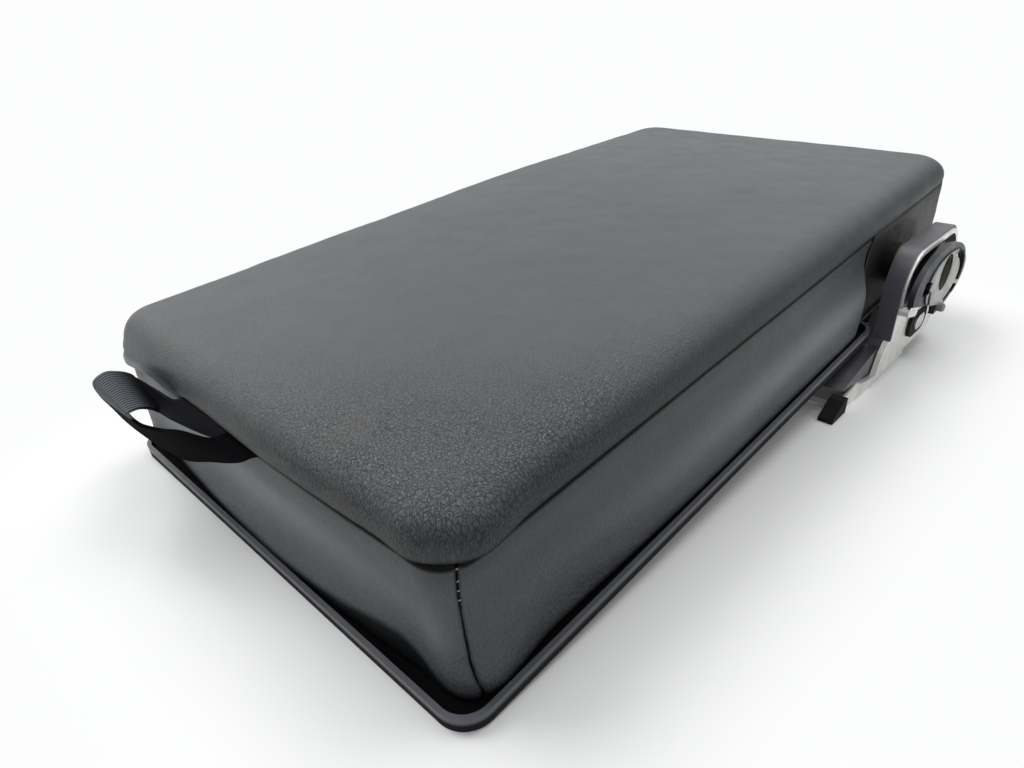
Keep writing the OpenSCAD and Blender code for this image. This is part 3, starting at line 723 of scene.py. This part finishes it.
def make_side(side, mirror, seed):
    arc = PAD_R_FRONT * SEAM
    start = PAD_Y0 + PAD_R_FRONT
    rows = []
    for s in np.concatenate([ROLL_COLUMNS, np.linspace(3.2, arc, 6)]):
        x, y = plan(np.full_like(ROWS, s), over(ROWS, s, True) + rolled(s), True)
        rows.append(np.stack([x, y, ROWS], 1))
    end = rear_edge(ROWS) - EDGE_TURN
    for q in np.linspace(0, 1, 160)[1:]:
        inset = over(ROWS, arc + q * SIDE_LENGTH, True)
        rows.append(np.stack([HALF_W - inset, start + (end - start) * q, ROWS], 1))
    for angle in np.radians(np.linspace(15, 90, 6)):
        turned = HALF_W - inset - EDGE_TURN + EDGE_TURN * math.cos(angle)
        rows.append(np.stack([turned, end + EDGE_TURN * math.sin(angle), ROWS], 1))
    rows.append(np.stack([HALF_W - inset - EDGE_REACH, end + EDGE_TURN, ROWS], 1))
    grid = np.array(rows)
    grid = to_seam(grid, np.maximum(grid[:, 0, 1] - grid[0, 0, 1], 0), True)
    if mirror:
        grid[:, :, 0] *= -1
    panel_mesh(f"{side}_cover", grid, f"{side}_panel", M_SHADED_SIDE, seed, mirror, side_tones)


# Rear cover: half its width, its rear face, its corner radius, and the gap to the side covers
REAR_X, REAR_Y, REAR_R, REAR_GAP = 103.0, 402.0, 8.0, 0.3


def make_rear():
    """The leather between the hinges, drawn darker than the sides and set back a little from them."""
    z = np.concatenate([[3.2, 2.9], np.linspace(3.2, PANEL_TOP, 26), [52.6]])
    tuck = np.concatenate([[3.0, 0.8], np.zeros(26), [2.0]])
    turn = REAR_Y - REAR_R
    start = rear_edge(z) + REAR_GAP
    rows = [np.stack([REAR_X - tuck, start + (turn - start) * q, z], 1) for q in np.linspace(0, 1, 60)]
    for a in np.radians(np.linspace(0, 90, 14)[1:]):
        c, s = math.cos(a), math.sin(a)
        rows.append(np.stack([REAR_X - REAR_R + (REAR_R - tuck) * c, turn + (REAR_R - tuck) * s, z], 1))
    for x in np.linspace(REAR_X - REAR_R, 0, 50)[1:]:
        rows.append(np.stack([np.full_like(z, x), REAR_Y - tuck, z], 1))
    right = np.array(rows)
    grid = np.concatenate([right, mirrored(right)[1:]])
    # dark = 0.5 darkens the whole rear evenly through its shade
    panel_mesh("rear_cover", grid, "rear_panel", M_REAR, 61, False, rear_tones, 0.5)


# Stitches of a corner seam: heights, half length, thickness, how far inside the seam, rings and sides
STITCH_Z = (50.3, 46.3, 43.1, 39.9)
STITCH_HALF, STITCH_R, STITCH_IN, STITCH_RINGS, STITCH_SIDES = 0.5, 0.2, 0.9, 7, 8


def make_stitches():
    """Thread that shows where the corner seams pull open under the pad."""
    along = np.array([math.sin(SEAM), math.cos(SEAM), 0.25])
    along /= np.linalg.norm(along)
    level = np.cross(along, [0, 0, 1])
    level /= np.linalg.norm(level)
    upright = np.cross(along, level)
    points, faces = [], []
    for side in (1, -1):
        for z in STITCH_Z:
            x = np.interp(z, SEAM_Z, SEAM_X) - STITCH_IN * math.cos(SEAM)
            y = np.interp(z, SEAM_Z, SEAM_Y) + STITCH_IN * math.sin(SEAM)
            base = len(points)
            for a in np.linspace(-1, 1, STITCH_RINGS):
                r = STITCH_R * math.sqrt(max(1 - a ** 4, 0.02))
                for turn in np.linspace(0, 2 * math.pi, STITCH_SIDES, endpoint=False):
                    p = np.array([x, y, z]) + along * a * STITCH_HALF
                    p = p + r * (level * math.cos(turn) + upright * math.sin(turn))
                    points.append([p[0] * side, p[1], p[2]])
            faces += grid_faces(STITCH_RINGS, STITCH_SIDES, base, wrap=True, flip=side < 0)
            faces.append(tuple(base + j for j in range(STITCH_SIDES))[::-1])
            last = base + (STITCH_RINGS - 1) * STITCH_SIDES
            faces.append(tuple(last + j for j in range(STITCH_SIDES)))
    mesh_object("corner_stitches", place(settle(np.array(points))), faces, M_THREAD)


# Pull strap

# Routes of the tape's far and near edges, from the upper root through the loop to the lower root
STRAP_FAR = [(-42, 8.0, 53.2), (-46, 4.6, 51.6), (-69, 3.4, 49.5), (-81, 1, 52), (-71, -6, 60.5),
             (-61.5, -12.5, 66), (-60, -16, 65), (-62, -15.5, 58.5), (-60.5, -13.5, 52), (-59, -11, 44),
             (-50, -7.5, 37), (-30, -4.5, 36), (-9, -1.5, 43), (9, 1.5, 49.5), (13, 4.6, 51.6),
             (17, 8.0, 52.5)]
STRAP_NEAR = [(6, 8.0, 53.2), (-4, 4.8, 50.2), (-49, 2, 41.5), (-62, 1, 41), (-52, -5, 50),
              (-42, -10.7, 56.5), (-38.5, -14, 58), (-39.5, -13.5, 56), (-38.5, -13, 54.5), (-38, -11.5, 52),
              (-33, -8, 50.5), (-23, -4.8, 52.5), (-15, -1.5, 52), (-9.5, 2, 51), (-8.5, 4.4, 51.4),
              (-6, 8.0, 52.5)]
STRAP_STEPS = 16
# The tape's width, half thickness, and rounded rim as a share of the width
TAPE_W, TAPE_HALF, TAPE_RIM = 22, 0.62, 0.03
# Thicker woven selvedge: its gain in thickness, its place and its spread, as shares of the width
SELVEDGE, SELVEDGE_AT, SELVEDGE_SPREAD = 0.18, 0.05, 0.0006


def between(a, b, start, end, t):
    return (end - t) / (end - start) * a + (t - start) / (end - start) * b


def spline(points):
    """Smooth curve through points, with the same number of steps between all neighbours."""
    p = np.array(points, float)
    p = np.concatenate([[2 * p[0] - p[1]], p, [2 * p[-1] - p[-2]]])
    out = []
    for i in range(1, len(p) - 2):
        a, b, c, d = p[i - 1:i + 3]
        k = np.cumsum([0] + [max(np.linalg.norm(q) ** 0.5, 1e-4) for q in (b - a, c - b, d - c)])
        for t in np.linspace(k[1], k[2], STRAP_STEPS, endpoint=False):
            ab = between(a, b, k[0], k[1], t)
            bc = between(b, c, k[1], k[2], t)
            cd = between(c, d, k[2], k[3], t)
            out.append(between(between(ab, bc, k[0], k[2], t), between(bc, cd, k[1], k[3], t), k[1], k[2], t))
    out.append(p[-2])
    return np.array(out)


def make_strap():
    far, near = spline(STRAP_FAR), spline(STRAP_NEAR)
    w = np.concatenate([[0, 0.012, 0.03], np.linspace(0.06, 0.94, 22), [0.97, 0.988, 1]])
    rim = np.minimum(w, 1 - w)
    rounding = np.sqrt(np.clip(1 - (1 - np.clip(rim / TAPE_RIM, 0, 1)) ** 2, 0.02, 1))
    half = TAPE_HALF * rounding * (1 + SELVEDGE * np.exp(-(rim - SELVEDGE_AT) ** 2 / SELVEDGE_SPREAD))
    mid = far[:, None] * (1 - w)[None, :, None] + near[:, None] * w[None, :, None]
    lift = normals_of(mid) * half[None, :, None]
    ring = np.concatenate([mid + lift, (mid - lift)[:, ::-1]], axis=1)
    rows, count = ring.shape[:2]
    faces = grid_faces(rows, count, wrap=True)
    faces.append(tuple(range(count))[::-1])
    faces.append(tuple((rows - 1) * count + j for j in range(count)))
    obj = mesh_object("pull_strap_tape", place(ring.reshape(-1, 3)), faces, M_STRAP)
    centre = mid[:, mid.shape[1] // 2]
    along = np.concatenate([[0], np.cumsum(np.linalg.norm(np.diff(centre, axis=0), axis=1))])
    across = np.concatenate([w, w[::-1]]) * TAPE_W
    layer = obj.data.uv_layers.new(name="tape")
    for loop in obj.data.loops:
        i, j = divmod(loop.vertex_index, count)
        layer.data[loop.index].uv = (across[j], along[i])
    # Painted shade on the loop's lower band and where the upper band goes under the pad
    share = np.linspace(0, 1, rows)
    shade = smooth(0.448, 0.517, share) + 0.85 * smooth(0.33, 0.2, share)
    attribute(obj, "shade", np.clip(np.repeat(shade, count), 0, 1))
    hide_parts("pull_strap")


# Carried-over nodes

def dress(node, material, bevel=0.0, segments=2):
    """Give a node its material and, where bevel says, a narrow rounded edge in metres."""
    obj = NODES[node]
    obj.data.materials.clear()
    obj.data.materials.append(material)
    if bevel:
        mod = obj.modifiers.new("edge", "BEVEL")
        mod.width, mod.segments, mod.limit_method = bevel, segments, "ANGLE"
        mod.angle_limit = math.radians(40)


def dress_all():
    dress("base_plate", M_BASE, 0.0008, 3)
    dress("plate_screws", M_SCREW)
    dress("foam_core", M_FOAM)
    dress("inner_frame", M_FRAME)
    for side in ("right", "left"):
        dress(f"pivot_tube_{side}", M_TUBE, 0.0003)
        dress(f"stop_plate_{side}", M_PLATE, 0.0003)
        dress(f"bracket_{side}", M_BRACKET, 0.0005)
        dress(f"hinge_cover_{side}", M_COVER, 0.0005)
        dress(f"bush_{side}", M_BUSH)
        dress(f"plate_pin_{side}", M_PIN)
        dress(f"lock_stud_{side}", M_STUD, 0.0004)
        dress(f"grommet_{side}", M_RUBBER)
        dress(f"buffer_{side}", M_RUBBER, 0.0006)


# Stage

# White of the studio behind and around the table
STUDIO_WHITE = (0.975, 0.985, 0.982, 1)
# Middle and half size of the box on the floor from whose edge the shadow's reach is measured, in metres
SHADOW_MIDDLE, SHADOW_HALF = (0.01, 0.012, 0), (0.107, 0.2, 0)
# Distances from that box at which the floor starts to turn and has turned white
WHITE_FROM, WHITE_AT = 0.008, 0.085
FLOOR_HALF = 8.0
# Strength of the studio's light on the armrest, and as it is seen
STUDIO_LIGHT, STUDIO_SEEN = 0.52, 1.0


def make_floor():
    """Pale table with the armrest's shadow; further off it turns plain white, but only for the camera."""
    mat = Shader("floor")
    cloud = mat.noise(mat.coords(), 0.01, 3.0)
    base = mat.mix(mat.ramp(cloud, 0.3, 0.7), (0.93, 0.94, 0.935), (0.95, 0.955, 0.95))
    mat.finish(Base_Color=base, Roughness=0.6, Specular_IOR_Level=0.2)
    out = mat.vector("SUBTRACT", mat.node("TexCoord", "Object"), SHADOW_MIDDLE)
    out = mat.node("VectorMath", props={"operation": "ABSOLUTE"}, i0=out)
    out = mat.vector("MAXIMUM", mat.vector("SUBTRACT", out, SHADOW_HALF), (0, 0, 0))
    out = mat.vector("MULTIPLY", out, (1, 1, 0))
    distance = mat.node("VectorMath", "Value", props={"operation": "LENGTH"}, i0=out)
    far = mat.ramp(distance, WHITE_FROM, WHITE_AT)
    seen = mat.times(far, mat.node("LightPath", "Is Camera Ray"))
    white = mat.node("Emission", Color=STUDIO_WHITE, Strength=1.0)
    mixed = mat.node("MixShader", i0=seen, i1=mat.bsdf.outputs[0], i2=white)
    mat.tree.links.new(mixed, mat.out.inputs[0])
    mesh = bpy.data.meshes.new("floor")
    r = FLOOR_HALF
    mesh.from_pydata([(-r, -r, 0), (r, -r, 0), (r, r, 0), (-r, r, 0)], [], [(0, 1, 2, 3)])
    floor = bpy.data.objects.new("floor", mesh)
    bpy.context.scene.collection.objects.link(floor)
    mesh.materials.append(mat.material)


def area(name, at, look, size, power):
    """Round soft lamp at a place, turned to another."""
    light = bpy.data.lights.new(name, "AREA")
    light.shape, light.size, light.energy = "DISK", size, power
    obj = bpy.data.objects.new(name, light)
    obj.location = at
    obj.rotation_mode = "QUATERNION"
    obj.rotation_quaternion = (Vector(look) - Vector(at)).to_track_quat("-Z", "Y")
    bpy.context.scene.collection.objects.link(obj)


def make_world():
    """Even studio light that the camera and reflections see as white."""
    world = bpy.data.worlds.new("studio")
    bpy.context.scene.world = world
    world.use_nodes = True
    tree = world.node_tree
    tree.nodes.clear()
    out = tree.nodes.new("ShaderNodeOutputWorld")
    background = tree.nodes.new("ShaderNodeBackground")
    background.inputs["Color"].default_value = STUDIO_WHITE
    path = tree.nodes.new("ShaderNodeLightPath")
    seen = tree.nodes.new("ShaderNodeMath")
    seen.operation = "MAXIMUM"
    tree.links.new(path.outputs["Is Camera Ray"], seen.inputs[0])
    tree.links.new(path.outputs["Is Glossy Ray"], seen.inputs[1])
    level = tree.nodes.new("ShaderNodeMapRange")
    level.inputs["To Min"].default_value = STUDIO_LIGHT
    level.inputs["To Max"].default_value = STUDIO_SEEN
    tree.links.new(seen.outputs[0], level.inputs["Value"])
    tree.links.new(level.outputs[0], background.inputs["Strength"])
    tree.links.new(background.outputs[0], out.inputs[0])


# The camera solved from the photo: its place, its right, up and backward directions, and its lens in mm
CAMERA_AT = (0.210292, -0.266585, 0.181566)
CAMERA_RIGHT = (0.722256, 0.691007, -0.029256)
CAMERA_UP = (-0.312711, 0.363996, 0.877336)
CAMERA_BACK = (0.616894, -0.624512, 0.478984)
CAMERA_LENS, CAMERA_SENSOR = 24.63, 36.0


def make_camera():
    data = bpy.data.cameras.new("camera")
    data.lens, data.sensor_width = CAMERA_LENS, CAMERA_SENSOR
    data.clip_start, data.clip_end = 0.01, 50
    camera = bpy.data.objects.new("camera", data)
    turn = Matrix(list(zip(CAMERA_RIGHT, CAMERA_UP, CAMERA_BACK))).to_4x4()
    camera.matrix_world = Matrix.Translation(CAMERA_AT) @ turn
    bpy.context.scene.collection.objects.link(camera)
    bpy.context.scene.camera = camera


make_pad()
make_front()
make_side("right", False, 41)
make_side("left", True, 51)
make_rear()
make_stitches()
make_strap()
dress_all()
make_floor()
make_world()
area("key", at=(-1.2, -0.4, 1.8), look=(0, 0, 0), size=1.4, power=26)
area("top", at=(0.1, 1.0, 2.0), look=(0, 0.05, 0), size=1.4, power=16)
make_camera()
bpy.context.scene.view_settings.view_transform = "Standard"

bpy.context.view_layer.update()
